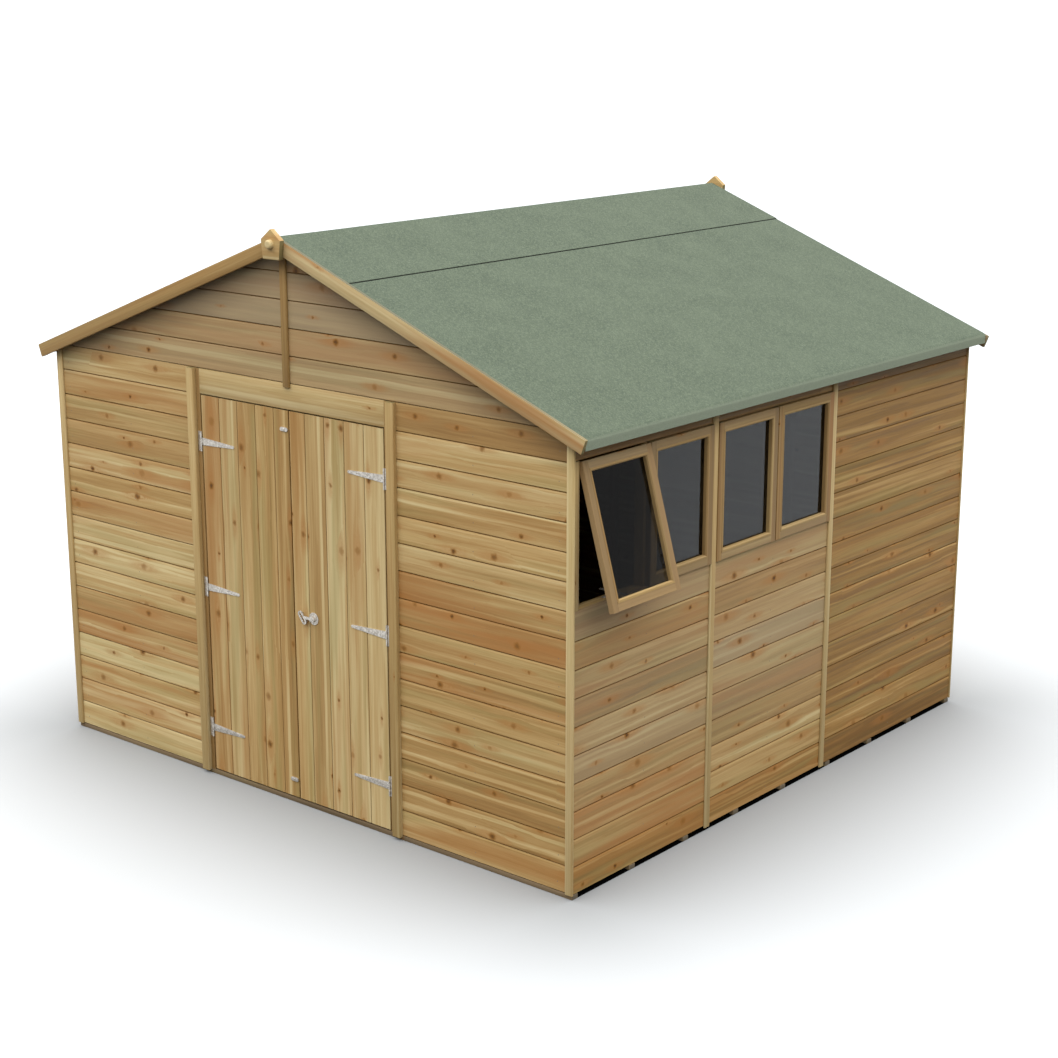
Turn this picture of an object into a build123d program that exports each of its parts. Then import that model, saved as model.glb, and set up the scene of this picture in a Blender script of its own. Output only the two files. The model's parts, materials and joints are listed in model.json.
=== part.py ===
"""Wooden garden shed: apex roof under green felt, shiplap walls, double doors, four windows in one side.

Millimetres. X runs across the front, Y from the front to the back, Z up.
The origin is on the ground, under the middle of the walls.
"""
import math
import os

from build123d import *

# Walls
shed_width = 3040.0
shed_depth = 2990.0
wall_height = 1866.0
cladding_thickness = 12.0
cladding_ground_gap = 20.0
gable_joint_drop = 6.0
panel_joint_gap = 1.0

# Floor
bearer_height = 20.0
bearer_width = 36.0
bearer_count = 9
floor_thickness = 12.0
floor_setback = 18.0

# Wall framing
stud_depth = 45.0
stud_width = 28.0
rail_height = 28.0
end_mid_stud_x = 1020.0

# Side panels, measured back from the front face
side_joint_1 = 900.0
side_joint_2 = 1800.0

# Double door
door_opening = 1100.0
door_clearance = 5.0
door_meeting_gap = 3.0
door_bottom = 28.0
door_head_height = 110.0
door_top_gap = 6.0
door_thickness = 12.0
ledge_height = 70.0
ledge_thickness = 28.0
ledge_inset = 32.0
ledge_level_shares = (0.115, 0.487, 0.868)
brace_width = 60.0
jamb_width = 22.0

# T hinges
hinge_level_shares = (0.115, 0.498, 0.881)
hinge_barrel_radius = 4.0
hinge_pin_radius = 2.2
hinge_pin_play = 0.1
hinge_thickness = 2.5
hinge_plate_height = 88.0
hinge_plate_width = 20.0
hinge_knuckle_height = 28.0
hinge_knuckle_gap = 0.4
strap_length = 200.0
strap_root_height = 34.0
strap_tip_height = 13.0

# Door furniture
latch_from_edge = 118.0
latch_level = 868.0
latch_plate_radius = 27.0
latch_plate_thickness = 3.0
latch_hub_radius = 14.0
latch_hub_length = 16.0
latch_arm_length = 50.0
latch_arm_height = 12.0
latch_grip_length = 64.0
latch_grip_width = 26.0
latch_grip_thickness = 6.0
latch_grip_wall = 8.0
latch_grip_centre = (-57.5, -3.0)
latch_grip_turn = 126.5
button_length = 46.0
button_height = 18.0
button_thickness = 5.0
button_from_edge = 25.5
button_inset = 80.0

# Cover strips
strip_width = 44.0
strip_thickness = 20.0
corner_strip_width = 38.0
corner_strip_thickness = 9.0
corner_strip_past_wall = 6.0
side_strip_width = 36.0
side_strip_thickness = 8.0
gable_strip_width = 36.0
gable_strip_thickness = 12.0
strip_bottom = 15.0
gable_strip_lap = 14.0
strip_bevel = 3.0

# Windows
window_head_depth = 114.0
window_height = 577.0
window_jamb_width = 30.0
sash_gap = 6.0
sash_frame_width = 44.0
sash_thickness = 24.0
rebate_width = 9.0
rebate_depth = 5.0
glass_thickness = 3.0
open_angle = 15.8

# Stay of the open sash
stay_width = 14.0
stay_thickness = 3.0
stay_level = 25.0
stay_tail = 30.0
stay_plate_length = 44.0
stay_bracket_height = 30.0
stay_pin_radius = 4.0
stay_pin_inset = 23.0

# Roof
roof_pitch = 21.0
roof_board_thickness = 12.0
felt_thickness = 3.0
eaves_overhang = 72.0
verge_overhang = 30.0
felt_turn_down = 42.0
felt_cap_width = 425.0
purlin_depth = 45.0
purlin_width = 34.0
purlin_place_shares = (0.1, 0.52)
rafter_depth = 45.0

# Bargeboards and finials
bargeboard_depth = 58.0
bargeboard_thickness = 16.0
bargeboard_past_eaves = 14.0
rear_bargeboard_drop = 11.0
apex_gap = 1.0
finial_width = 112.0
finial_foot_width = 94.0
finial_height = 122.0
finial_shoulder = 44.0
finial_above_ridge = 32.0
finial_thickness = 24.0
boss_radius = 19.0
boss_drop = 61.0
boss_height = 18.0
boss_round = 9.0

# Worked out from the sizes above
half_width = shed_width / 2
front = -shed_depth / 2
back = shed_depth / 2
inner_half = half_width - cladding_thickness
frame_half = inner_half - stud_depth
sash_face = inner_half + sash_thickness
frame_front = front + cladding_thickness
frame_back = back - cladding_thickness
floor_top = bearer_height + floor_thickness
gable_base = wall_height - gable_joint_drop
window_top = wall_height - window_head_depth
window_bottom = window_top - window_height
sole_top = floor_top + rail_height
half_opening = door_opening / 2
head_bottom = gable_base - door_head_height
door_top = head_bottom - door_top_gap
door_height = door_top - door_bottom
leaf_hinge_edge = half_opening - door_clearance
leaf_meeting_edge = door_meeting_gap / 2
hinge_x = half_opening - door_clearance / 2
hinge_y = front - hinge_barrel_radius
slope = math.tan(math.radians(roof_pitch))
pitch_cos = math.cos(math.radians(roof_pitch))
pitch_sin = math.sin(math.radians(roof_pitch))
roof_build_up = roof_board_thickness + 2 * felt_thickness
roof_front = front - verge_overhang
roof_back = back + verge_overhang


def under_roof(x):
    """Height of the roof boards' underside at a distance x from the ridge line."""
    return wall_height + (half_width - abs(x)) * slope


def block(x0, x1, y0, y1, z0, z1):
    """A straight timber between two corners."""
    middle = ((x0 + x1) / 2, (y0 + y1) / 2, (z0 + z1) / 2)
    return Pos(*middle) * Box(abs(x1 - x0), abs(y1 - y0), abs(z1 - z0))


def slab_across(outline, y0, y1):
    """An outline in X and Z, made thick from y0 to y1."""
    face = make_face(Polyline(*outline, close=True))
    return extrude(Plane.XZ.offset(-y0) * face, amount=-(y1 - y0))


def mirrored(solids):
    """The same solids on the other side of the shed's middle plane."""
    return [mirror(solid, about=Plane.YZ) for solid in solids]


def both_sides(solids):
    return list(solids) + mirrored(solids)


# Floor

def floor_bearers():
    first = front + bearer_width / 2
    pitch = -2 * first / (bearer_count - 1)
    reach = half_width
    bearers = []
    for number in range(bearer_count):
        y = first + number * pitch
        bearers.append(block(-reach, reach, y - bearer_width / 2, y + bearer_width / 2, 0, bearer_height))
    return bearers


def floor_boards():
    reach = half_width - floor_setback
    return [block(-reach, reach, front + floor_setback, back - floor_setback, bearer_height, floor_top)]


# Cladding

def front_wall_right():
    edge = half_opening + jamb_width
    return [block(edge, inner_half, front, frame_front, cladding_ground_gap, gable_base)]


def gable(y0, y1):
    outline = [
        (-inner_half, gable_base),
        (inner_half, gable_base),
        (inner_half, under_roof(inner_half)),
        (0, under_roof(0)),
        (-inner_half, under_roof(inner_half)),
    ]
    return slab_across(outline, y0, y1)


def rear_wall_right():
    edge = panel_joint_gap / 2
    outline = [
        (edge, cladding_ground_gap),
        (inner_half, cladding_ground_gap),
        (inner_half, under_roof(inner_half)),
        (edge, under_roof(edge)),
    ]
    return [slab_across(outline, frame_back, back)]


def side_panel(y0, y1, z0, z1):
    """One panel of side cladding, between distances back from the front face."""
    return block(inner_half, half_width, front + y0, front + y1, z0, z1)


def left_wall():
    gap = panel_joint_gap / 2
    edges = (0, side_joint_1, side_joint_2, shed_depth)
    panels = []
    for start, end in zip(edges, edges[1:]):
        y0 = start + gap if start else start
        y1 = end - gap if end < shed_depth else end
        panels.append(side_panel(y0, y1, cladding_ground_gap, wall_height))
    return mirrored(panels)


def right_wall_front():
    return [side_panel(0, side_joint_1 - panel_joint_gap / 2, cladding_ground_gap, window_bottom)]


def right_wall_middle():
    gap = panel_joint_gap / 2
    return [side_panel(side_joint_1 + gap, side_joint_2 - gap, cladding_ground_gap, window_bottom)]


def right_wall_rear():
    return [side_panel(side_joint_2 + panel_joint_gap / 2, shed_depth, cladding_ground_gap, wall_height)]


def window_header():
    end = side_joint_2 - panel_joint_gap / 2
    return [side_panel(0, end, window_top, wall_height)]


# Wall framing

def stud_in_end_wall(x, y0, y1, z1):
    return block(x - stud_width / 2, x + stud_width / 2, y0, y1, sole_top, z1)


def end_studs():
    """Studs of the front and back walls, under their top rails, and one over each rail to the apex."""
    top = gable_base - rail_height
    corner = frame_half - stud_width / 2
    beside_door = half_opening + stud_width / 2
    studs = []
    for x in (beside_door, end_mid_stud_x, corner):
        studs.append(stud_in_end_wall(x, frame_front, frame_front + stud_depth, top))
    for x in (beside_door, end_mid_stud_x, corner):
        studs.append(stud_in_end_wall(x, frame_back - stud_depth, frame_back, top))
    half = stud_width / 2
    under_apex = under_roof(half) - rafter_depth / pitch_cos
    kings = [
        block(-half, half, frame_front, frame_front + stud_depth, gable_base, under_apex),
        block(-half, half, frame_back - stud_depth, frame_back, gable_base, under_apex),
    ]
    return both_sides(studs) + kings


def gable_rafters():
    """Sloping timbers inside both gables, seated on the top rails."""
    reach = rafter_depth / pitch_cos
    inside_front = frame_front + stud_depth
    inside_back = frame_back - stud_depth
    foot_x = half_width - (gable_base + reach - wall_height) / slope
    outline = [
        (apex_gap / 2, under_roof(apex_gap / 2) - reach),
        (foot_x, gable_base),
        (frame_half, gable_base),
        (frame_half, under_roof(frame_half)),
        (apex_gap / 2, under_roof(apex_gap / 2)),
    ]
    rafters = []
    for y0, y1 in ((frame_front, inside_front), (inside_back, frame_back)):
        rafters.append(slab_across(outline, y0, y1))
    return both_sides(rafters)


def end_rails():
    """Sole plates and top rails of the front and back walls."""
    inside_front = frame_front + stud_depth
    inside_back = frame_back - stud_depth
    sole = block(half_opening, frame_half, frame_front, inside_front, floor_top, sole_top)
    top_start = gable_base - rail_height
    return both_sides([sole]) + [
        block(-frame_half, frame_half, frame_front, inside_front, top_start, gable_base),
        block(-frame_half, frame_half, inside_back, frame_back, floor_top, sole_top),
        block(-frame_half, frame_half, inside_back, frame_back, top_start, gable_base),
    ]


def side_rails():
    """Sole plates and top plates of the two side walls."""
    sole = block(frame_half, inner_half, frame_front, frame_back, floor_top, sole_top)
    plate = block(frame_half, inner_half, frame_front, frame_back, wall_height - rail_height, wall_height)
    return both_sides([sole, plate])


def stud_in_side_wall(y, z0, z1):
    return block(frame_half, inner_half, front + y - stud_width / 2, front + y + stud_width / 2, z0, z1)


def side_stud_places():
    corner = cladding_thickness + stud_width / 2
    return (corner, side_joint_1, side_joint_2, (side_joint_2 + shed_depth) / 2, shed_depth - corner)


def side_studs():
    """Full-height studs of both side walls, and short ones under the window rails."""
    top = wall_height - rail_height
    full = [stud_in_side_wall(y, sole_top, top) for y in side_stud_places()]
    under_window = window_bottom - rail_height
    short = [stud_in_side_wall(y, sole_top, under_window) for y in mullion_places()]
    plain = [stud_in_side_wall(y, sole_top, top) for y in mullion_places()]
    return full + short + mirrored(full + plain)


# Windows

def window_bays():
    """Start and end of each pair of sashes, measured back from the front face."""
    edge = side_strip_width / 2
    return ((window_jamb_width, side_joint_1 - edge), (side_joint_1 + edge, side_joint_2 - edge))


def mullion_places():
    return [(start + end) / 2 for start, end in window_bays()]


def sash_spans():
    spans = []
    for start, end in window_bays():
        width = (end - start - sash_gap) / 2
        spans.append((start, start + width))
        spans.append((end - width, end))
    return spans


def window_rails():
    """Sill and head rails between the full-height studs."""
    places = side_stud_places()
    rails = []
    for start, end in zip(places, places[1:3]):
        y0 = front + start + stud_width / 2
        y1 = front + end - stud_width / 2
        rails.append(block(frame_half, inner_half, y0, y1, window_bottom - rail_height, window_bottom))
        rails.append(block(frame_half, inner_half, y0, y1, window_top, window_top + rail_height))
    return rails


def window_mullions():
    """Posts behind the meeting sashes, and the first jamb beside the corner."""
    posts = [stud_in_side_wall(y, window_bottom, window_top) for y in mullion_places()]
    jamb = side_panel(0, window_jamb_width, window_bottom, window_top)
    return posts + [jamb]


def in_sash(start, end, inset, x0, x1):
    """A block as large as a sash, less an inset on its four edges."""
    return block(
        x0, x1, front + start + inset, front + end - inset, window_bottom + inset, window_top - inset
    )


def sash(start, end):
    """A frame seated on the studs, its outer face proud of the cladding, rebated inside for the pane."""
    outer = in_sash(start, end, 0, inner_half, sash_face)
    sight = in_sash(start, end, sash_frame_width, inner_half, sash_face)
    rebate = in_sash(start, end, sash_frame_width - rebate_width, inner_half, inner_half + rebate_depth)
    return outer - sight - rebate


def pane(start, end):
    """Glass pressed against the shoulder of the rebate."""
    shoulder = inner_half + rebate_depth
    return in_sash(start, end, sash_frame_width - rebate_width, shoulder - glass_thickness, shoulder)


def swung_open(solid):
    """A sash piece turned out about its top outer edge."""
    top_edge = Axis((sash_face, 0, window_top), (0, 1, 0))
    return solid.rotate(top_edge, -open_angle)


def fixed_sashes():
    return [sash(start, end) for start, end in sash_spans()[1:]]


def open_sash():
    start, end = sash_spans()[0]
    return [swung_open(sash(start, end))]


def window_stay():
    """A flat bar from the open sash's bottom rail, hooked over a pin on the sill rail."""
    start, end = sash_spans()[0]
    y = front + (start + end) / 2
    level = window_bottom + stay_level
    pin_x = inner_half - stay_pin_inset
    lean = math.tan(math.radians(open_angle))
    sash_middle = sash_face + (window_top - level) * lean - sash_thickness / 2
    half = stay_width / 2
    bar = block(pin_x - stay_tail, sash_middle, y - half, y + half, level, level + stay_thickness)
    pin = Pos(pin_x, y, window_bottom + stay_level / 2) * Cylinder(stay_pin_radius, stay_level)
    foot_half = stay_plate_length / 2
    foot_top = window_bottom + stay_thickness
    foot = block(pin_x - half, pin_x + half, y - foot_half, y + foot_half, window_bottom, foot_top)
    inside = inner_half - stay_thickness
    bracket_top = window_bottom + stay_bracket_height
    bracket = block(inside, inner_half, y - foot_half, y + foot_half, window_bottom, bracket_top)
    return (bar + pin + foot + swung_open(bracket) - open_sash()[0]).solids()


def window_panes():
    spans = sash_spans()
    return [swung_open(pane(*spans[0]))] + [pane(*span) for span in spans[1:]]


# Cover strips

def bevelled_upright(x0, x1, y_face, y_back, z0, z1):
    """An upright strip with its two outer edges eased."""
    strip = block(x0, x1, y_face, y_back, z0, z1)
    outer_edges = strip.edges().filter_by(Axis.Z).group_by(Axis.Y)[0 if y_face < y_back else -1]
    return chamfer(outer_edges, strip_bevel)


def corner_strips():
    end = half_width + corner_strip_past_wall
    start = end - corner_strip_width
    foot = cladding_ground_gap
    top = under_roof(end)
    strips = [
        bevelled_upright(start, end, front - corner_strip_thickness, front, foot, top),
        bevelled_upright(start, end, back + corner_strip_thickness, back, foot, top),
    ]
    return both_sides(strips)


def door_strips():
    start = half_opening + jamb_width
    strip = bevelled_upright(
        start, start + strip_width, front - strip_thickness, front, strip_bottom, gable_base
    )
    return both_sides([strip])


def gable_strips():
    half = gable_strip_width / 2
    top = under_roof(half)
    front_foot = gable_base - gable_strip_lap
    return [
        bevelled_upright(-half, half, front - gable_strip_thickness, front, front_foot, top),
        bevelled_upright(-half, half, back + gable_strip_thickness, back, strip_bottom, top),
    ]


def side_strips():
    strips = []
    for y in (side_joint_1, side_joint_2):
        y0 = front + y - side_strip_width / 2
        y1 = front + y + side_strip_width / 2
        face = half_width + side_strip_thickness
        strip = block(half_width, face, y0, y1, strip_bottom, under_roof(face))
        outer_edges = strip.edges().filter_by(Axis.Z).group_by(Axis.X)[-1]
        strips.append(chamfer(outer_edges, strip_bevel))
    return both_sides(strips)


# Door surround

def door_jambs():
    jamb = block(half_opening, half_opening + jamb_width, front, frame_front, cladding_ground_gap, gable_base)
    return both_sides([jamb])


def door_head():
    return [block(-half_opening, half_opening, front, frame_front, head_bottom, gable_base)]


# Doors, made for the right-hand leaf and mirrored

def door_leaf():
    return [
        block(leaf_meeting_edge, leaf_hinge_edge, front, front + door_thickness, door_bottom, door_top)
    ]


def ledge_levels():
    return [door_bottom + share * door_height for share in ledge_level_shares]


def door_ledges():
    """Three ledges with a brace rising from the hinge side, in one frame."""
    x0 = leaf_meeting_edge + ledge_inset
    x1 = leaf_hinge_edge - door_clearance
    y0 = front + door_thickness
    y1 = y0 + ledge_thickness
    frame = None
    levels = ledge_levels()
    for level in levels:
        ledge = block(x0, x1, y0, y1, level - ledge_height / 2, level + ledge_height / 2)
        frame = ledge if frame is None else frame + ledge
    for low, high in zip(levels, levels[1:]):
        outline = [
            (x1 - brace_width, low),
            (x1, low),
            (x0 + brace_width, high),
            (x0, high),
        ]
        frame = frame + slab_across(outline, y0, y1)
    return frame.solids()


def hinge_levels():
    return [door_bottom + share * door_height for share in hinge_level_shares]


def barrel(level, height, radius):
    return Pos(hinge_x, hinge_y, level) * Cylinder(radius, height)


def hinge_strap(level):
    """The long tapered leaf, with the middle knuckle round the pin."""
    root = strap_root_height / 2
    tip = strap_tip_height / 2
    tip_x = hinge_x - strap_length
    outline = [
        (hinge_x, level - root),
        (hinge_x, level + root),
        (tip_x, level + tip),
        (tip_x, level - tip),
    ]
    strap = slab_across(outline, front - hinge_thickness, front)
    tip_face = Plane((tip_x, front, level), x_dir=(1, 0, 0), z_dir=(0, -1, 0))
    strap = strap + extrude(tip_face * Circle(tip), amount=hinge_thickness)
    reach = hinge_x - hinge_barrel_radius
    relief = block(
        reach, hinge_x, front - hinge_thickness, front, level - hinge_plate_height, level + hinge_plate_height
    )
    knuckle = barrel(level, hinge_knuckle_height, hinge_barrel_radius)
    bore = barrel(level, hinge_knuckle_height, hinge_pin_radius + hinge_pin_play)
    neck = block(
        reach - hinge_barrel_radius,
        hinge_x,
        front - hinge_thickness,
        front,
        level - hinge_knuckle_height / 2,
        level + hinge_knuckle_height / 2,
    )
    return (strap - relief + neck + knuckle) - bore


def hinge_plate(level):
    """The upright leaf on the jamb, with an outer knuckle at each end and the pin between them."""
    half = hinge_plate_height / 2
    x0 = hinge_x + hinge_barrel_radius
    x1 = hinge_x + hinge_plate_width
    plate = block(x0, x1, front - hinge_thickness, front, level - half, level + half)
    inner = hinge_knuckle_height / 2 + hinge_knuckle_gap
    length = half - inner
    hinge = plate + barrel(level, hinge_plate_height, hinge_pin_radius)
    for side in (-1, 1):
        middle = level + side * (inner + length / 2)
        neck = block(
            hinge_x,
            x1,
            front - hinge_thickness,
            front,
            middle - length / 2,
            middle + length / 2,
        )
        hinge = hinge + barrel(middle, length, hinge_barrel_radius) + neck
    return hinge


def hinge_straps():
    return [hinge_strap(level) for level in hinge_levels()]


def hinge_plates():
    return both_sides([hinge_plate(level) for level in hinge_levels()])


def door_latch():
    """A round rose with a hub, and a short arm that ends in a slotted oval grip, on the right leaf."""
    x = leaf_meeting_edge + latch_from_edge
    facing = Plane((x, front, latch_level), x_dir=(1, 0, 0), z_dir=(0, -1, 0))
    rose = extrude(facing * Circle(latch_plate_radius), amount=latch_plate_thickness)
    hub = extrude(facing * Circle(latch_hub_radius), amount=latch_hub_length)
    outer = facing.offset(latch_hub_length - latch_grip_thickness)
    arm = outer * Pos(-latch_arm_length / 2, 0) * Rectangle(latch_arm_length, latch_arm_height)
    slot = SlotOverall(latch_grip_length - 2 * latch_grip_wall, latch_grip_width - 2 * latch_grip_wall)
    oval = SlotOverall(latch_grip_length, latch_grip_width) - slot
    grip = outer * Pos(*latch_grip_centre) * Rot(0, 0, latch_grip_turn) * oval
    return [
        rose
        + hub
        + extrude(arm, amount=latch_grip_thickness)
        + extrude(grip, amount=latch_grip_thickness)
    ]


def turn_buttons():
    """Two oval buttons on the left leaf, at its top and foot."""
    x = -leaf_meeting_edge - button_from_edge
    buttons = []
    for level in (door_bottom + button_inset, door_top - button_inset):
        facing = Plane((x, front, level), x_dir=(1, 0, 0), z_dir=(0, -1, 0))
        buttons.append(extrude(facing * SlotOverall(button_length, button_height), amount=button_thickness))
    return buttons


# Roof, made for the right-hand slope and mirrored

def roof_layer(lift, thickness, x_start, x_end):
    """A sheet on the slope, lifted square to it from the boards' underside."""
    low = lift / pitch_cos
    high = (lift + thickness) / pitch_cos
    return [
        (x_start, under_roof(x_start) + low),
        (x_end, under_roof(x_end) + low),
        (x_end, under_roof(x_end) + high),
        (x_start, under_roof(x_start) + high),
    ]


def roof_board():
    outline = roof_layer(0, roof_board_thickness, apex_gap / 2, half_width + eaves_overhang)
    return slab_across(outline, roof_front, roof_back)


def roof_felt():
    """The sheet on the slope, turned down over the eaves edge."""
    x_edge = half_width + eaves_overhang
    x_face = x_edge + felt_thickness
    sheet = slab_across(
        roof_layer(roof_board_thickness, felt_thickness, apex_gap / 2, x_face), roof_front, roof_back
    )
    under_sheet = under_roof(x_edge) + roof_board_thickness / pitch_cos
    turn = block(x_edge, x_face, roof_front, roof_back, under_sheet - felt_turn_down, under_sheet)
    return sheet + turn


def roof_felt_cap():
    """The strip that laps both slopes over the ridge."""
    lift = (roof_board_thickness + felt_thickness) / pitch_cos
    rise = felt_thickness / pitch_cos
    reach = felt_cap_width * pitch_cos
    outline = [
        (-reach, under_roof(reach) + lift),
        (0, under_roof(0) + lift),
        (reach, under_roof(reach) + lift),
        (reach, under_roof(reach) + lift + rise),
        (0, under_roof(0) + lift + rise),
        (-reach, under_roof(reach) + lift + rise),
    ]
    return [slab_across(outline, roof_front, roof_back)]


def roof_purlins():
    """Timbers under the boards, from one gable's rafters to the other's."""
    purlins = []
    for share in purlin_place_shares:
        x = share * half_width
        outline = roof_layer(-purlin_depth, purlin_depth, x, x + purlin_width)
        purlins.append(slab_across(outline, frame_front + stud_depth, frame_back - stud_depth))
    return both_sides(purlins)


# Verge trim

def bargeboard(y0, y1, drop=0.0):
    """A sloping board, cut upright at the apex and square at its foot."""
    lift = roof_build_up / pitch_cos - drop
    top_apex = under_roof(apex_gap / 2) + lift
    foot_x = half_width + eaves_overhang + bargeboard_past_eaves
    foot_z = under_roof(foot_x) + lift
    outline = [
        (apex_gap / 2, top_apex),
        (foot_x, foot_z),
        (foot_x - bargeboard_depth * pitch_sin, foot_z - bargeboard_depth * pitch_cos),
        (apex_gap / 2, top_apex - bargeboard_depth / pitch_cos),
    ]
    return slab_across(outline, y0, y1)


def front_bargeboards():
    return both_sides([bargeboard(roof_front - bargeboard_thickness, roof_front)])


def rear_bargeboards():
    return both_sides([bargeboard(roof_back, roof_back + bargeboard_thickness, rear_bargeboard_drop)])


def finial_on(plane):
    """A pointed plaque with a turned knob, standing off the bargeboards."""
    top = under_roof(0) + roof_build_up / pitch_cos + finial_above_ridge
    shoulder = top - finial_shoulder
    foot = top - finial_height
    half = finial_width / 2
    foot_half = finial_foot_width / 2
    outline = [(0, top), (half, shoulder), (foot_half, foot), (-foot_half, foot), (-half, shoulder)]
    plaque = extrude(plane * make_face(Polyline(*outline, close=True)), amount=finial_thickness)
    seat = plane.offset(finial_thickness) * Pos(0, top - boss_drop)
    boss = extrude(seat * Circle(boss_radius), amount=boss_height)
    rim = boss.edges().sort_by(Axis((0, 0, 0), plane.z_dir))[-1]
    return plaque + fillet(rim, boss_round)


def finials():
    front_plane = Plane((0, roof_front - bargeboard_thickness, 0), x_dir=(1, 0, 0), z_dir=(0, -1, 0))
    rear_plane = Plane((0, roof_back + bargeboard_thickness, 0), x_dir=(-1, 0, 0), z_dir=(0, 1, 0))
    return [finial_on(front_plane), finial_on(rear_plane)]


nodes = {
    "floor_bearers": floor_bearers(),
    "floor_boards": floor_boards(),
    "front_wall_left": mirrored(front_wall_right()),
    "front_wall_right": front_wall_right(),
    "front_gable": [gable(front, frame_front)],
    "rear_wall_left": mirrored(rear_wall_right()),
    "rear_wall_right": rear_wall_right(),
    "left_wall": left_wall(),
    "right_wall_front": right_wall_front(),
    "right_wall_middle": right_wall_middle(),
    "right_wall_rear": right_wall_rear(),
    "window_header": window_header(),
    "end_studs": end_studs(),
    "end_rails": end_rails(),
    "gable_rafters": gable_rafters(),
    "side_studs": side_studs(),
    "side_rails": side_rails(),
    "window_rails": window_rails(),
    "window_mullions": window_mullions(),
    "fixed_sashes": fixed_sashes(),
    "open_sash": open_sash(),
    "window_stay": window_stay(),
    "window_panes": window_panes(),
    "corner_strips": corner_strips(),
    "door_strips": door_strips(),
    "gable_strips": gable_strips(),
    "side_strips": side_strips(),
    "door_jambs": door_jambs(),
    "door_head": door_head(),
    "door_left_leaf": mirrored(door_leaf()),
    "door_right_leaf": door_leaf(),
    "door_left_ledges": mirrored(door_ledges()),
    "door_right_ledges": door_ledges(),
    "door_left_straps": mirrored(hinge_straps()),
    "door_right_straps": hinge_straps(),
    "hinge_plates": hinge_plates(),
    "door_latch": door_latch(),
    "turn_buttons": turn_buttons(),
    "roof_boards": both_sides([roof_board()]),
    "roof_felt": both_sides([roof_felt()]),
    "roof_felt_cap": roof_felt_cap(),
    "roof_purlins": roof_purlins(),
    "front_bargeboards": front_bargeboards(),
    "rear_bargeboards": rear_bargeboards(),
    "finials": finials(),
}

os.makedirs("parts", exist_ok=True)
for name, solids in nodes.items():
    export_step(Compound(children=list(solids)), f"parts/{name}.step")
print(len(nodes), "nodes, hinge line at", hinge_x, hinge_y)
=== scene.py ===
import json
import math
import random
from functools import partial
from operator import attrgetter

import bmesh
import bpy
from mathutils import Matrix, Vector, noise


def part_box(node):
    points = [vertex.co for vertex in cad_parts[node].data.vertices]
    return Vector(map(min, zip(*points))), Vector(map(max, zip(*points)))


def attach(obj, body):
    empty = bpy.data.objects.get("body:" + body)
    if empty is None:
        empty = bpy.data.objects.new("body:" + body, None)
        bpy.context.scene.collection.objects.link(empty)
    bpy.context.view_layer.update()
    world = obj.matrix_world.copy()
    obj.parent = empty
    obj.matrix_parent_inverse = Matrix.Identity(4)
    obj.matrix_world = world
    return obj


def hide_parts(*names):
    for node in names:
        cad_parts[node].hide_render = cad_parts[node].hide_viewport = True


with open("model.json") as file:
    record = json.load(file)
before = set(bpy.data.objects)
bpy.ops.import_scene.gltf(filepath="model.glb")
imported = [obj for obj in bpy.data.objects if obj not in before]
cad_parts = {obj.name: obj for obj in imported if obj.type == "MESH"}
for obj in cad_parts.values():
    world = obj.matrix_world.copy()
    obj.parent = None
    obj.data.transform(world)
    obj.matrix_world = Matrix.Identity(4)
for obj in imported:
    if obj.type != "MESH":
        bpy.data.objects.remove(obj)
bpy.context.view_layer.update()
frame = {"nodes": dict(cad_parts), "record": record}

nodes = frame["nodes"]
scene = bpy.context.scene
mm = 0.001
sides = {"left": -1, "right": 1}
dice = random.Random(27)  # for tones, cuts of the log, nails and screws


# Colour and node helpers

# a colour code as linear light, by the usual screen curve
def hexLinear(code):
    shares = [int(code[at:at + 2], 16) / 255 for at in (1, 3, 5)]
    return [s / 12.92 if s <= 0.04045 else ((s + 0.055) / 1.055) ** 2.4 for s in shares] + [1.0]


# a kind may name its operation too; inputs are keyed by name, or listed in the order the node shows them,
# such as a value, the range it is read over and the range it gives
def addNode(tree, kind, inputs=(), stops=(), **settings):
    kind, *operation = kind.split()
    node = tree.nodes.new("ShaderNode" + kind)
    if operation:
        node.operation = operation[0]
    for name, value in settings.items():
        setattr(node, name, value)
    for at, (place, code) in enumerate(stops):
        ramp = node.color_ramp.elements
        stop = ramp[at] if at < len(ramp) else ramp.new(place)
        stop.position = place
        stop.color = hexLinear(code)
    sockets = [socket for socket in node.inputs if socket.enabled]
    if isinstance(inputs, dict):
        sockets = [node.inputs[name] for name in inputs]
        inputs = inputs.values()
    for socket, value in zip(sockets, inputs):
        if isinstance(value, bpy.types.NodeSocket):
            tree.links.new(value, socket)
        else:
            socket.default_value = value
    return node.outputs


# a material or world with no nodes yet, and what adds them
def emptyNodes(owner):
    owner.use_nodes = True
    owner.node_tree.nodes.clear()
    return owner, partial(addNode, owner.node_tree)


def newMaterial(name):
    return emptyNodes(bpy.data.materials.new(name))


# the shader and the output that end a material's nodes
def addSurface(add, inputs):
    add("OutputMaterial", {"Surface": add("BsdfPrincipled", inputs)[0]})


# Softwood

# Sawn from the log, so one growth-ring pattern shows as long streaks, pale sapwood beside warm heartwood,
# and brown knots that the grain flows round. "grain" holds metres along, across and into the board,
# "board" its tone, how much heartwood and silvering it shows, and 1 for a cut end.

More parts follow.
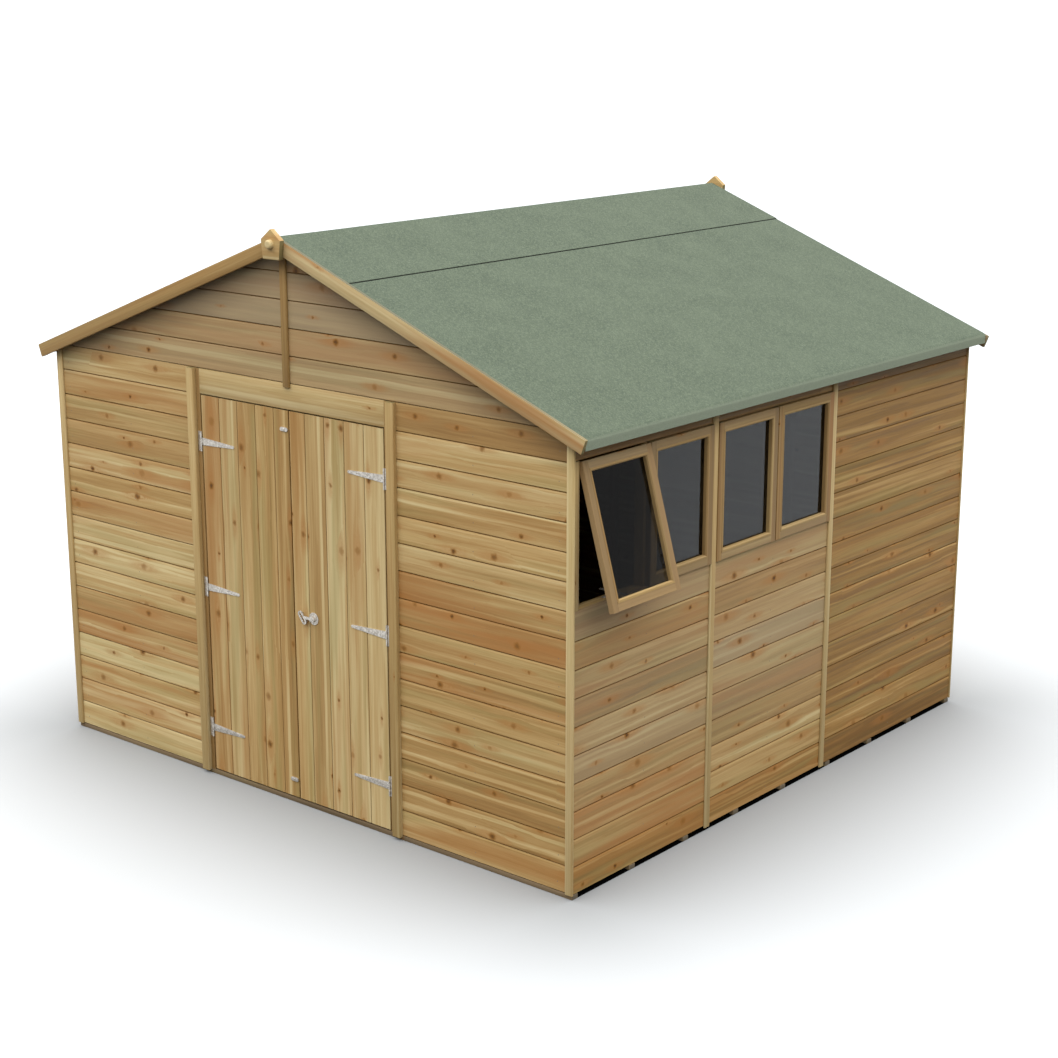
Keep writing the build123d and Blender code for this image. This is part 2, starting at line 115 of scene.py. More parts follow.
# one knot to a cell; gives the distance from it in knot radii, round for the knot and long for its halo,
# the metres to its side, and how dark it is
def scatterKnots(add, look, grain):
    cell = (look["knotEvery"] * mm, look["knotLane"] * mm, 1.0)
    perCell = [1 / size for size in cell]
    cellPoint = add("VectorMath MULTIPLY", [grain, perCell])[0]
    knots = add("TexVoronoi", {"Vector": cellPoint, "Scale": 1.0, "Randomness": look["knotScatter"]},
                voronoi_dimensions="2D")
    away = add("VectorMath SUBTRACT", [cellPoint, knots["Position"]])[0]
    away = add("VectorMath MULTIPLY", [away, cell])[0]
    # a wobble of a few millimetres, so that no knot is a true oval
    wobble = add("TexNoise", {"Vector": grain, "Scale": 1 / (look["wobbleSize"] * mm),
                              "Detail": 1.0})["Color"]
    wobble = add("VectorMath SUBTRACT", [wobble, (0.5, 0.5, 0.5)])[0]
    away = add("VectorMath MULTIPLY_ADD", [wobble, [look["wobble"] * mm] * 3, away])[0]
    chance, sizeDraw, darkDraw = add("SeparateColor", [knots["Color"]])
    present = add("Math LESS_THAN", [chance, look["knotShare"]])[0]
    radius = add("MapRange", [sizeDraw, 0.0, 1.0, look["knotSmall"] * mm, look["knotLarge"] * mm])[0]
    radius = add("Math MULTIPLY", [radius, present])[0]
    radius = add("Math MAXIMUM", [radius, look["knotLeast"] * mm])[0]
    reaches = []
    for squeeze in (look["knotSqueeze"], look["haloSqueeze"]):
        shortened = add("VectorMath MULTIPLY", [away, (squeeze, 1.0, 0.0)])[0]
        length = add("VectorMath LENGTH", [shortened])["Value"]
        reaches.append(add("Math DIVIDE", [length, radius])[0])
    awayAcross = add("SeparateXYZ", [away])[1]
    return *reaches, awayAcross, darkDraw


def drawStreaks(add, look, flow):
    for name in ("band", "streak", "fibre", "heartPatch", "sapLine"):
        length, width, detail, shift = look[name]
        stretch = (1 / (length * mm), 1 / (width * mm), 1 / (width * mm))
        point = add("VectorMath MULTIPLY_ADD", [flow, stretch, (shift, shift, shift)])[0]
        yield add("TexNoise", {"Vector": point, "Scale": 1.0, "Detail": detail,
                               "Roughness": look["streakRough"], "Distortion": look["streakDrift"]})[0]


def softwood(name, look):
    material, add = newMaterial(name)
    grain = add("Attribute", attribute_name="grain")["Vector"]
    board = add("Attribute", attribute_name="board")
    tone, heart, silver = add("SeparateColor", [board["Color"]])
    alongGrain, acrossGrain, intoGrain = add("SeparateXYZ", [grain])
    knotReach, haloReach, awayAcross, darkDraw = scatterKnots(add, look, grain)

    # the grain parts round the knot as a stream round a stone
    squared = add("Math MULTIPLY_ADD", [haloReach, haloReach, look["partSoftly"]])[0]
    bend = add("Math DIVIDE", [awayAcross, squared])[0]
    acrossGrain = add("Math SUBTRACT", [acrossGrain, bend])[0]
    flow = add("CombineXYZ", [alongGrain, acrossGrain, intoGrain])[0]
    band, streak, fibre, patch, line = drawStreaks(add, look, flow)

    # growth rings are the contour lines of the widest streaks, each soft on one side and crisp on the other
    ring = add("Math MULTIPLY", [band, look["rings"]])[0]
    ring = add("Math FRACT", [ring])[0]
    marks = {}
    for mark, source in (("ring", ring), ("sap", line), ("heart", patch), ("green", patch),
                         ("halo", haloReach), ("rim", knotReach), ("core", knotReach)):
        marks[mark] = add("MapRange", [source, *look[mark + "Fade"], 0.0, look.get(mark + "Share", 1.0)],
                          interpolation_type="SMOOTHSTEP")[0]

    shade = tone
    for source, depth in ((band, "bandDepth"), (streak, "streakDepth"), (fibre, "fibreDepth")):
        centred = add("Math SUBTRACT", [source, 0.5])[0]
        shade = add("Math MULTIPLY_ADD", [centred, look[depth], shade])[0]
    shade = add("Math MULTIPLY_ADD", [marks["ring"], -look["ringDepth"], shade])[0]
    # here and there a straight pale line of sapwood is left on the board
    shade = add("Math ADD", [shade, marks["sap"]])[0]
    colour = add("ValToRGB", [shade], stops=look["tones"])[0]

    heartShare = add("Math MULTIPLY", [marks["heart"], heart])[0]
    # old knots are dark to the middle, young ones hardly show
    strength = add("MapRange", [darkDraw, 0.0, 1.0, *look["knotStrength"]])[0]
    rim = add("Math MULTIPLY", [marks["rim"], strength])[0]
    core = add("Math MULTIPLY", [marks["core"], darkDraw])[0]
    # the treatment leaves a green cast where the sapwood took it up
    layers = [(heartShare, "heartwood"), (marks["green"], "green"), (silver, "silver"),
              (marks["halo"], "heartwood"), (rim, "knotRim"), (core, "knotCore")]
    sheen = look["sheen"]
    # the joints hold dirt and shade, and a deep one has no sheen
    if look["jointShade"]:
        shallow, deep = look["jointDepth"]
        joint = add("MapRange", [intoGrain, shallow * mm, deep * mm, 0.0, look["jointShade"]])[0]
        sheen = add("MapRange", [joint, 0.0, 1.0, sheen, 0.0])[0]
        layers.append((joint, "joint"))
    layers.append((board["Alpha"], "cutEnd"))
    # the upward faces go grey-green, partly rain wear and partly a painted shade that tones down the light
    # from above
    if "worn" in look:
        facing = add("SeparateXYZ", [add("NewGeometry")["Normal"]])[2]
        upward = add("MapRange", [facing, *look["wornFade"]])[0]
        layers.append((upward, "worn"))
    # painted shade: the boards just under the roof slope are darkened towards it, for the shade of the verge
    if "dust" in look:
        fall, low, high, depth = look["verge"]
        aside, _, level = add("SeparateXYZ", [add("TexCoord")["Object"]])
        aside = add("Math ABSOLUTE", [aside])[0]
        level = add("Math MULTIPLY_ADD", [aside, fall, level])[0]
        paintedVergeShade = add("MapRange", [level, low, high, 0.0, depth], interpolation_type="SMOOTHSTEP")[0]
        layers.append((paintedVergeShade, "dust"))
    for share, paint in layers:
        colour = add("Mix", [share, colour, hexLinear(look[paint])], data_type="RGBA")[2]

    roughness = add("MapRange", [streak, *look["roughFade"], look["roughness"] - look["roughSpread"],
                                 look["roughness"] + look["roughSpread"]])[0]
    height = add("Math ADD", [marks["ring"], fibre])[0]
    height = add("Math MULTIPLY_ADD", [rim, look["rimHeight"], height])[0]
    bump = add("Bump", {"Height": height, "Strength": look["bump"], "Distance": look["bumpDepth"] * mm})[0]
    addSurface(add, {"Base Color": colour, "Roughness": roughness, "Normal": bump, "IOR": look["ior"],
                     "Specular IOR Level": sheen})
    return material


# Pressure-treated pine shiplap, planed: tan with straw and orange bands, each board its own tone
shiplapLook = {
    "tones": [(0.0, "#6f5128"), (0.3, "#926f3b"), (0.5, "#aa864f"), (0.72, "#c1a16a"), (1.0, "#dac591")],
    "heartwood": "#a87036", "silver": "#9a8d75", "green": "#988a52", "joint": "#5c3a0a", "cutEnd": "#a68a5c",
    "knotRim": "#875713", "knotCore": "#4c2c06",
    # millimetres of board to each knot, the share of places that have one, its radius and its outline
    "knotEvery": 330, "knotLane": 100, "knotScatter": 0.95, "knotShare": 0.68, "knotStrength": (0.4, 0.95),
    "knotSmall": 5, "knotLarge": 16, "knotLeast": 0.05, "knotSqueeze": 0.85, "haloSqueeze": 0.22,
    "wobble": 11, "wobbleSize": 14, "partSoftly": 0.5,
    # streaks: length and width in millimetres, detail, and a shift that sets them apart
    "band": (1500, 54, 2.5, 0.0), "streak": (600, 10, 3.0, 4.7), "fibre": (120, 3.5, 2.0, 9.1),
    "heartPatch": (1300, 75, 2.5, 2.3), "sapLine": (4200, 26, 0.3, 6.3),
    "streakRough": 0.6, "streakDrift": 0.06,
    "bandDepth": 0.95, "streakDepth": 0.5, "fibreDepth": 0.2, "rings": 6.0, "ringDepth": 0.05,
    # where each mark starts, where it is full, and its share then if that is less than 1
    "ringFade": (0.2, 0.95), "sapFade": (0.6, 0.7), "heartFade": (0.4, 0.66), "greenFade": (0.5, 0.32),
    "haloFade": (2.2, 0.6), "rimFade": (1.45, 0.55), "coreFade": (0.85, 0.2),
    "sapShare": 0.26, "greenShare": 0.34, "haloShare": 0.4,
    "jointDepth": (0.6, 4.5), "jointShade": 0.94,
    "ior": 1.5, "sheen": 0.3, "roughness": 0.62, "roughSpread": 0.08, "roughFade": (0.3, 0.7),
    "bump": 0.35, "bumpDepth": 0.4, "rimHeight": 0.8,
}
shiplapPine = softwood("planedShiplapPine", shiplapLook)

# The door's tongue and groove is the same pine, a little greener in the sapwood
doorPine = softwood("planedDoorPine", dict(shiplapLook, greenShare=0.42))

# Strips, sashes and bargeboards are clear-grained battens with few knots; bargeboard tops: rain grey and
# painted shade
trimLook = dict(
    shiplapLook, knotShare=0.25, knotSmall=2, knotLarge=6, bandDepth=0.45, jointShade=0.0, sapShare=0.2,
    greenShare=0.12, cutEnd="#7d7048",
    tones=[(0.0, "#71552c"), (0.3, "#90703f"), (0.5, "#a38450"), (0.72, "#b99c67"), (1.0, "#d2bd8c")])
trimPine = softwood("planedTrimPine", trimLook)
bargePine = softwood("bargePineRainGreyedAndShadedTops", dict(trimLook, worn="#635f45", wornFade=(0.75, 0.9)))

# Framing is left as it came off the saw, so it is dull, furry and a little rougher
framingPine = softwood("sawnFramingPine", dict(
    shiplapLook, roughness=0.85, bump=0.7, knotShare=0.4, bandDepth=0.5, jointShade=0.0,
    tones=[(0.0, "#6e5431"), (0.4, "#8f7246"), (0.7, "#a48a5d"), (1.0, "#bba379")]))

# Bearers stand near the wet ground and have gone grey-brown
bearerPine = softwood("weatheredBearerPine", dict(
    shiplapLook, roughness=0.9, bump=0.7, knotShare=0.3, jointShade=0.0, sapShare=0.0, heartwood="#6f604c",
    cutEnd="#655b4b", tones=[(0.0, "#5d4c34"), (0.4, "#78644a"), (0.7, "#8d7757"), (1.0, "#a18c6c")]))
print("wood materials:", len(bpy.data.materials))


# Mineral felt: bitumen sheet faced with crushed slate, a dull sage green with light and dark grit
feltLook = {
    "base": "#4a5543", "grit": 5.0, "gritBump": 0.5, "gritHeight": 0.8, "mottle": 180,
    "roughness": (0.84, 0.98),
    # where each mark starts, where it is full, its share then and its colour
    "lightGrit": (0.55, 1.0, 0.75, "#616c58"), "darkGrit": (0.4, 0.0, 0.75, "#374438"),
    "wornPatch": (0.35, 0.7, 0.25, "#616c58"), "paintedLightOnFold": (0.85, 0.2, 0.62, "#949e89"),
}


def mineralFelt():
    material, add = newMaterial("greenMineralFelt")
    place = add("TexCoord")["Object"]
    # the real grit is about 1.5 mm, too fine for the render, so it is drawn at 5 mm
    grit = add("TexVoronoi", {"Vector": place, "Scale": 1 / (feltLook["grit"] * mm)})
    speck, hue, _ = add("SeparateColor", [grit["Color"]])
    mottle = add("TexNoise", {"Vector": place, "Scale": 1 / (feltLook["mottle"] * mm), "Detail": 4.0})[0]
    # painted light: the turned-down edge is made paler, for the dim light on its upright face
    upward = add("SeparateXYZ", [add("NewGeometry")["Normal"]])[2]
    colour = hexLinear(feltLook["base"])
    for source, mark in ((speck, "lightGrit"), (speck, "darkGrit"), (mottle, "wornPatch"),
                         (upward, "paintedLightOnFold")):
        none, full, share, paint = feltLook[mark]
        mask = add("MapRange", [source, none, full, 0.0, share])[0]
        colour = add("Mix", [mask, colour, hexLinear(paint)], data_type="RGBA")[2]
    bump = add("Bump", {"Height": grit["Distance"], "Strength": feltLook["gritBump"],
                        "Distance": feltLook["gritHeight"] * mm})[0]
    rough = add("MapRange", [hue, 0.0, 1.0, *feltLook["roughness"]])[0]
    addSurface(add, {"Base Color": colour, "Roughness": rough, "Normal": bump})
    return material


# Zinc plate on pressed steel: pale grey with a faint spangle and a soft broken shine, duller on the nails
zincLook = {"bright": "#d3cec6", "dull": "#a49d94", "spangle": 6.0, "metallic": 0.7,
            "roughness": (0.35, 0.57), "bump": 0.15, "bumpDepth": 0.1}
nailZincLook = dict(zincLook, bright="#8d8373", dull="#6f6658", spangle=3.0, metallic=0.4,
                    roughness=(0.55, 0.77))


def zincPlate(name, look):
    material, add = newMaterial(name)
    place = add("TexCoord")["Object"]
    cells = add("TexVoronoi", {"Vector": place, "Scale": 1 / (look["spangle"] * mm)})
    draw, turn, _ = add("SeparateColor", [cells["Color"]])
    colour = add("Mix", [draw, hexLinear(look["bright"]), hexLinear(look["dull"])], data_type="RGBA")[2]
    rough = add("MapRange", [turn, 0.0, 1.0, *look["roughness"]])[0]
    bump = add("Bump", {"Height": draw, "Strength": look["bump"], "Distance": look["bumpDepth"] * mm})[0]
    addSurface(add, {"Base Color": colour, "Metallic": look["metallic"], "Roughness": rough, "Normal": bump})
    return material


# Clear glazing sheet: thin and smooth, so it shows the pale floor as a grey sheen over a dark room
glazingLook = {"tint": "#6b6c6e", "ior": 1.33, "film": (0.015, 0.05), "ripple": 140,
               "bump": 0.04, "bumpDepth": 1.0}


def clearSheet():
    material, add = newMaterial("clearGlazingSheet")
    place = add("TexCoord")["Object"]
    ripple = add("TexNoise", {"Vector": place, "Scale": 1 / (glazingLook["ripple"] * mm), "Detail": 1.0})[0]
    bump = add("Bump", {"Height": ripple, "Strength": glazingLook["bump"],
                        "Distance": glazingLook["bumpDepth"] * mm})[0]
    film = add("MapRange", [ripple, 0.0, 1.0, *glazingLook["film"]])[0]
    addSurface(add, {"Base Color": hexLinear(glazingLook["tint"]), "Roughness": film, "Normal": bump,
                     "IOR": glazingLook["ior"], "Transmission Weight": 1.0})
    return material


# Bitumen: soft black tar with a dull skin
bitumenLook = {"tones": [(0.3, "#0c0e0b"), (0.8, "#1c211c")], "skin": 25, "roughness": 0.85, "sheen": 0.1}


def blackBitumen():
    material, add = newMaterial("blackBitumen")
    place = add("TexCoord")["Object"]
    skin = add("TexNoise", {"Vector": place, "Scale": 1 / (bitumenLook["skin"] * mm), "Detail": 3.0})[0]
    colour = add("ValToRGB", [skin], stops=bitumenLook["tones"])[0]
    addSurface(add, {"Base Color": colour, "Roughness": bitumenLook["roughness"],
                     "Specular IOR Level": bitumenLook["sheen"]})
    return material


felt = mineralFelt()
bitumen = blackBitumen()
zinc = zincPlate("zincPlatedSteel", zincLook)
nailZinc = zincPlate("weatheredNailZinc", nailZincLook)
glazing = clearSheet()
print("materials:", len(bpy.data.materials))


# Mesh helpers: a pile gathers the boards of one piece

meshing = {
    "sliver": 0.1 * mm, "weld": 0.02 * mm, "sawGap": 0.3 * mm, "cutSnap": 0.01 * mm,
    "flatAngle": math.radians(0.8), "arrisAngle": math.radians(25), "sharpAngle": math.radians(32),
    # how squarely a face looks up, to the front or along the grain
    "level": 0.99, "sideGrain": 0.3, "endGrain": 0.85,
}
# shares of heartwood and silvering, and metres of log that a board may come from
logDraw = {"heartwood": (0.3, 0.85), "sapwood": (0.0, 0.2), "silvering": (0.3, 1.0), "length": 60,
           "width": 12}
plainTones = (0.5, 0.5, 0.0, 0.0)  # for what isn't wood


def newPile():
    return {"points": [], "faces": [], "grain": [], "board": []}


def placeOf(origin, along, across, inward):
    place = Matrix((along, across, inward)).transposed().to_4x4()
    place.translation = origin
    return place


def drawBoard(tones):
    low, high, heartChance, silver = tones
    kind = "heartwood" if dice.random() < heartChance else "sapwood"
    heart = dice.uniform(*logDraw[kind])
    return dice.uniform(low, high), heart, dice.uniform(*logDraw["silvering"]) * silver


# the depth keeps its own zero, so the joints between boards can be told from their faces
def drawCut():
    return Vector((dice.uniform(0, logDraw["length"]), dice.uniform(0, logDraw["width"]), 0.0))


# quads from one ring of points to the next
def joinRings(pile, first, count):
    for at in range(count):
        after = (at + 1) % count
        pile["faces"].append([first + at, first + after, first + count + after, first + count + at])


# a board of one section; its ends may follow the height, as under a roof slope, and above bareHead it has
# no joint to shade
def addBoard(pile, place, section, start, end, tones, bareHead=math.inf):
    look = drawBoard(tones)
    cut = drawCut()
    first = len(pile["points"])
    count = len(section)
    thick = max(depth for _, depth in section)
    for edge in (start, end):
        for across, depth in section:
            spot = Vector((edge(across, depth) if callable(edge) else edge, across, depth))
            pile["points"].append(place @ spot)
            # depth counts from the nearer face
            spot.z = 0.0 if across >= bareHead else min(depth, thick - depth)
            pile["grain"].append(spot + cut)
    joinRings(pile, first, count)
    pile["board"] += [(*look, 0.0)] * count
    for side in (0, count):
        pile["faces"].append(list(range(first + side, first + side + count)))
        pile["board"].append((*look, 1.0))


def makePiece(name, pile, material, body, slot, *replaced):
    mesh = bpy.data.meshes.new(name)
    mesh.from_pydata(pile["points"], [], pile["faces"])
    work = bmesh.new()
    work.from_mesh(mesh)
    bmesh.ops.recalc_face_normals(work, faces=work.faces)
    work.to_mesh(mesh)
    work.free()
    for key, kind, domain, field in (("grain", "FLOAT_VECTOR", "POINT", "vector"),
                                     ("board", "FLOAT_COLOR", "FACE", "color")):
        if pile[key]:
            layer = mesh.attributes.new(key, kind, domain)
            layer.data.foreach_set(field, [number for entry in pile[key] for number in entry])
    mesh.polygons.foreach_set("use_smooth", [True] * len(mesh.polygons))
    mesh.set_sharp_from_angle(angle=meshing["sharpAngle"])
    mesh.materials.append(material)
    piece = bpy.data.objects.new(name, mesh)
    scene.collection.objects.link(piece)
    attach(piece, body)
    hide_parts(*replaced)
    return piece


def islandsOf(work):
    left = set(work.verts)
    while left:
        found = set()
        edge = [min(left, key=attrgetter("index"))]
        while edge:
            vert = edge.pop()
            if vert in found:
                continue
            found.add(vert)
            edge.extend(link.other_vert(vert) for link in vert.link_edges)
        left -= found
        yield found


def welded(node):
    work = bmesh.new()
    work.from_mesh(nodes[node].data)
    bmesh.ops.remove_doubles(work, verts=work.verts, dist=meshing["weld"])
    bmesh.ops.dissolve_limit(work, angle_limit=meshing["flatAngle"], verts=work.verts, edges=work.edges)
    work.verts.index_update()
    return work


def solidBoxes(node):
    work = welded(node)
    boxes = []
    for island in islandsOf(work):
        corners = [vert.co for vert in island]
        boxes.append((Vector(map(min, *corners)), Vector(map(max, *corners))))
    work.free()
    return sorted(boxes, key=lambda box: tuple(box[0]))


# a door's ledges and braces are one solid in the CAD, so they are cut apart just above and below each ledge
def cutLedges(work):
    levels = {(round(face.calc_center_median().z, 5), round(face.normal.z)) for face in work.faces
              if abs(face.normal.z) > meshing["level"]}
    for level, way in sorted(levels):
        everything = work.verts[:] + work.edges[:] + work.faces[:]
        seat = (0, 0, level + way * meshing["sawGap"])
        cut = bmesh.ops.bisect_plane(work, geom=everything, dist=meshing["cutSnap"], plane_co=seat,
                                     plane_no=(0, 0, 1))["geom_cut"]
        bmesh.ops.split_edges(work, edges=[part for part in cut if isinstance(part, bmesh.types.BMEdge)])


# the CAD timber with its arrises eased, its grain along its longest edge
def easedPile(node, ease, tones, rightTones=None, rounds=2):
    work = welded(node)
    if node.endswith("_ledges"):
        cutLedges(work)
    arrises = [edge for edge in work.edges if edge.calc_face_angle(0.0) > meshing["arrisAngle"]]
    bmesh.ops.bevel(work, geom=arrises, offset=ease, segments=rounds, profile=0.5, affect="EDGES",
                    clamp_overlap=True)
    for parts in (work.verts, work.edges, work.faces):
        parts.index_update()
    pile = newPile()
    for island in islandsOf(work):
        onRight = sum(vert.co.x for vert in island) > 0
        look = drawBoard(rightTones if rightTones and onRight else tones)
        cut = drawCut()
        # in a fixed order, so that every run picks the same edge and face
        edges = sorted({edge for vert in island for edge in vert.link_edges}, key=attrgetter("index"))
        faces = sorted({face for vert in island for face in vert.link_faces}, key=attrgetter("index"))
        longest = max(edges, key=lambda edge: edge.calc_length())
        along = (longest.verts[1].co - longest.verts[0].co).normalized()
        flats = [face for face in faces if abs(face.normal.dot(along)) < meshing["sideGrain"]]
        broad = max(flats, key=lambda face: face.calc_area())
        across = broad.normal.cross(along).normalized()
        into = along.cross(across)
        seats = {}
        for vert in sorted(island, key=attrgetter("index")):
            seats[vert] = len(pile["points"])
            pile["points"].append(vert.co.copy())
            pile["grain"].append(Vector((vert.co.dot(along), vert.co.dot(across), vert.co.dot(into))) + cut)
        for face in faces:
            pile["faces"].append([seats[vert] for vert in face.verts])
            cutEnd = abs(face.normal.dot(along)) > meshing["endGrain"]
            pile["board"].append((*look, 1.0 if cutEnd else 0.0))
    work.free()
    return pile


# Roof slope, read from the boards

slopeFace = max(nodes["roof_boards"].data.polygons, key=lambda face: face.area)
pitch = math.acos(abs(slopeFace.normal.z))
slope = math.tan(pitch)
boardsLow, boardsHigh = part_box("roof_boards")


def underRoof(x):
    return boardsLow.z + (boardsHigh.x - abs(x)) * slope


def slopeAxes(sign):
    down = Vector((sign * math.cos(pitch), 0, -math.sin(pitch)))
    outward = Vector((sign * math.sin(pitch), 0, math.cos(pitch)))
    return down, outward


# Shiplap cladding

# the end walls are the same pine, with a painted shade that fades out below the roof slope
vergeShade = {"from": 220 * mm, "to": 90 * mm, "depth": 0.32, "dust": "#2a1c0e"}
gablePine = softwood("gablePineWithPaintedVergeShade", dict(
    shiplapLook, dust=vergeShade["dust"],
    verge=(slope, underRoof(0) - vergeShade["from"], underRoof(0) - vergeShade["to"], vergeShade["depth"])))

cladding = {
    "cover": 115 * mm, "lip": 7 * mm, "cove": 11 * mm, "slot": 2.6 * mm, "ease": 2.0 * mm, "steps": 5,
    "inset": 0.36, "tongueGap": 0.5 * mm, "leastRow": 40 * mm,
    "peakGap": 1 * mm, "peakHalf": 0.5 * mm, "leastBoard": 0.2 * mm,
    # darkest and lightest tone, chance of heartwood, and silvering
    "tones": (0.42, 0.76, 0.5, 0.1), "leftTones": (0.52, 0.88, 0.45, 0.1),
    # the right wall's side and rear tones are darker than the front's: partly their own boards, partly a
    # painted shade for the lesser light on that side
    "gableTones": (0.5, 0.76, 0.25, 0.7), "sideTones": (0.36, 0.66, 0.3, 0.6),
    # painted shade: the window header's tones are the darkest, for the shade of the eaves above it
    "rearTones": (0.18, 0.38, 0.12, 0.05), "headerTones": (0.15, 0.3, 0.0, 0.1),
    "eavesShadeDrop": 0.24, "eavesFrom": 1.2, "eavesTo": 1.75, "footDrop": 0.09, "footTo": 0.25, "warmTo": 0.6,
}


# one board's section from its foot: an eased lip, a flat face, a cove at the head and a tongue behind
def shiplapSection(foot, head, thick, last):
    half = thick * cladding["inset"]
    lip, cove, ease = cladding["lip"], cladding["cove"], cladding["ease"]
    flat = head if last else head - cove
    foot += cladding["slot"]
    section = [(foot, ease), (foot + ease, 0.0)]
    if last:
        section += [(head, 0.0), (head, thick)]
    else:
        for step in range(cladding["steps"] + 1):
            turn = step / cladding["steps"] * math.pi / 2
            section.append((flat + cove * math.sin(turn), half * (1 - math.cos(turn))))
        tongue = head + lip - cladding["tongueGap"]
        section += [(tongue, half), (tongue, thick)]
    rebate = foot - cladding["slot"] + lip
    return section + [(rebate, thick), (rebate, half), (foot, half)]


# side boards are darker near the ground, and under the eaves a painted shade darkens them; the wet foot
# boards haven't gone silver, so their heartwood shows instead
def shadedAndWeatheredTones(tones, level):
    rise = (level - cladding["eavesFrom"]) / (cladding["eavesTo"] - cladding["eavesFrom"])
    drop = cladding["eavesShadeDrop"] * min(max(rise, 0.0), 1.0)
    drop += cladding["footDrop"] * max(1 - level / cladding["footTo"], 0.0)
    warm = tones[3] * max(1 - level / cladding["warmTo"], 0.0)
    return tones[0] - drop, tones[1] - drop, tones[2] + warm, tones[3] - warm


def clad(pile, place, low, high, start, end, thick, tones, eavesShaded=False):
    cover = cladding["cover"]
    foot = low
    while foot < high - meshing["sliver"]:
        head = foot + cover
        last = high - head < cladding["leastRow"]
        if last:
            head = high
        addBoard(pile, place, shiplapSection(foot, head, thick, last), start, end,
                 shadedAndWeatheredTones(tones, foot) if eavesShaded else tones,
                 head - meshing["sliver"] if last else math.inf)
        foot = head


def endWallPlace(outerY, inwardSign):
    return placeOf((0, outerY, 0), (1, 0, 0), (0, 0, 1), (0, inwardSign, 0))


def sideWallPlace(outerX, inwardSign):
    return placeOf((outerX, 0, 0), (0, 1, 0), (0, 0, 1), (inwardSign, 0, 0))


for side in sides:
    low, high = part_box("front_wall_" + side)
    pile = newPile()
    clad(pile, endWallPlace(low.y, 1), low.z, high.z, low.x, high.x, high.y - low.y,
         cladding["leftTones" if side == "left" else "tones"])
    makePiece("frontCladding" + side.title(), pile, gablePine, "shell", "shiplap", "front_wall_" + side)

gableLow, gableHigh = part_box("front_gable")


def gableReach(height, depth):
    return max(min(gableHigh.x, (gableHigh.z - height) / slope), cladding["peakHalf"])


pile = newPile()
clad(pile, endWallPlace(gableLow.y, 1), gableLow.z, gableHigh.z - cladding["peakGap"],
     lambda height, depth: -gableReach(height, depth), gableReach, gableHigh.y - gableLow.y,
     cladding["gableTones"])
makePiece("gableCladding", pile, gablePine, "shell", "shiplap", "front_gable")

for side, sign in sides.items():
    low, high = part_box("rear_wall_" + side)
    middle = sign * min(abs(low.x), abs(high.x))
    pile = newPile()
    leastReach = abs(middle) + cladding["leastBoard"]
    clad(pile, endWallPlace(high.y, -1), low.z, high.z - cladding["peakGap"], middle,
         lambda height, depth: sign * max(gableReach(height, depth), leastReach), high.y - low.y,
         cladding["tones"])
    makePiece("rearCladding" + side.title(), pile, gablePine, "shell", "shiplap", "rear_wall_" + side)

sidePieces = {
    "left_wall": ("leftCladding", "tones"),
    "right_wall_front": ("rightCladdingFront", "sideTones"),
    "right_wall_middle": ("rightCladdingMiddle", "sideTones"),
    "right_wall_rear": ("rightCladdingRear", "rearTones"),
    "window_header": ("windowHeader", "headerTones"),
}
for node, (name, tones) in sidePieces.items():
    pile = newPile()
    for low, high in solidBoxes(node):
        outer, sign = (low.x, 1) if low.x < 0 else (high.x, -1)
        clad(pile, sideWallPlace(outer, sign), low.z, high.z, low.y, high.y, high.x - low.x, cladding[tones],
             node != "window_header")
    makePiece(name, pile, shiplapPine, "shell", "shiplap", node)
print("cladding done")


# Doors: tongue and groove boards with a V at each joint

doorBoards = {"cover": 113 * mm, "vee": 2.2 * mm, "backVee": 1.2 * mm, "slot": 0.9 * mm, "slotDepth": 6 * mm,
              "tones": (0.54, 0.88, 0.6, 0.1)}


def veeSection(edge, width, thick):
    vee, back, slot, deep = (doorBoards[key] for key in ("vee", "backVee", "slot", "slotDepth"))
    end = edge + width
    return [(edge, deep), (edge + slot, deep), (edge + slot, vee), (edge + slot + vee, 0.0),
            (end - slot - vee, 0.0), (end - slot, vee), (end - slot, deep), (end, deep),
            (end, thick - back), (end - back, thick), (edge + back, thick), (edge, thick - back)]


for side, sign in sides.items():
    body = "door_" + side
    low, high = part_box("door_" + side + "_leaf")
    hingeEdge = max(abs(low.x), abs(high.x))
    width = high.x - low.x
    place = placeOf((sign * hingeEdge, low.y, 0), (0, 0, 1), (-sign, 0, 0), (0, 1, 0))
    pile = newPile()
    edge = 0.0
    while edge < width - meshing["sliver"]:
        cover = min(doorBoards["cover"], width - edge)
        addBoard(pile, place, veeSection(edge, cover, high.y - low.y), low.z, high.z, doorBoards["tones"])
        edge += cover
    makePiece("doorBoards" + side.title(), pile, doorPine, body, "door_boards", body + "_leaf")
print("doors done")


# Timber that keeps its CAD shape, with eased arrises

